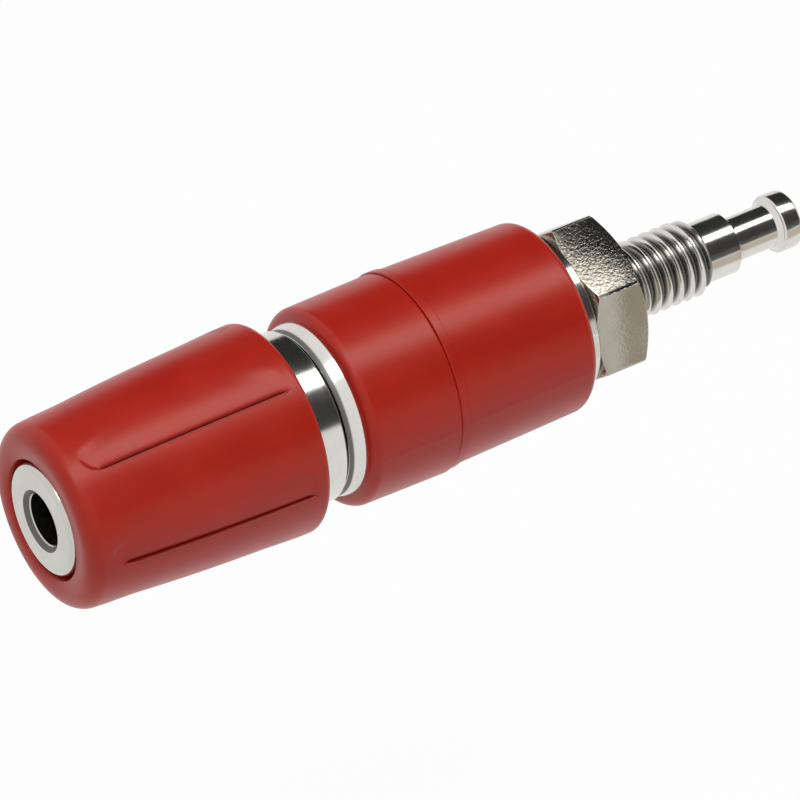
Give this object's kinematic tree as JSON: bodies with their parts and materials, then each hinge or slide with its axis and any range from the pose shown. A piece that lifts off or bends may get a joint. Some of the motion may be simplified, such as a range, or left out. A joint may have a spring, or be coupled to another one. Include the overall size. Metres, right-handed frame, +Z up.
{
  "type": "binding post",
  "caption": "Insulated panel binding post with a captive clamping knob, a 4 mm plug socket, an M6 stud with nut and washer, and a solder turret.",
  "frame": {"origin": "centre of the panel seat: on the post's axis, in the plane of the front bush's rear face", "axes": "+Y along the axis, from the knob towards the solder turret; +Z up, the post held level as through an upright panel"},
  "size_m": [0.0162, 0.0657, 0.0162],
  "materials": {
    "red_plastic": "moulded, satin gloss",
    "nickel": "turned brass, bright nickel plated"
  },
  "bodies": {
    "post": {"stem": "nickel", "stop_bush": "nickel", "front_bush": "red_plastic"},
    "insert": {"knob_insert": "nickel"},
    "knob": {"knob": "red_plastic"},
    "clamp": {"rear_bush": "red_plastic", "washer": "nickel"},
    "nut": {"hex_nut": "nickel"}
  },
  "joints": [
    {"name": "knob_travel", "type": "slide", "parent": "post", "child": "insert", "axis": [0, -1, 0], "range_m": [0, 0.007]},
    {"name": "knob_turn", "type": "hinge", "parent": "insert", "child": "knob", "pos_m": [0, -0.021, 0], "axis": [0, -1, 0], "range_deg": [0, 2520]},
    {"name": "nut_travel", "type": "slide", "parent": "post", "child": "clamp", "axis": [0, 1, 0], "range_m": [0, 0.007]},
    {"name": "nut_turn", "type": "hinge", "parent": "clamp", "child": "nut", "pos_m": [0, 0.01565, 0], "axis": [0, 1, 0], "range_deg": [0, 2520]}
  ],
  "couplings": [
    {"joint": "knob_turn", "follows": "knob_travel", "rad_per_m": 6283.2},
    {"joint": "nut_turn", "follows": "nut_travel", "rad_per_m": 6283.2}
  ]
}
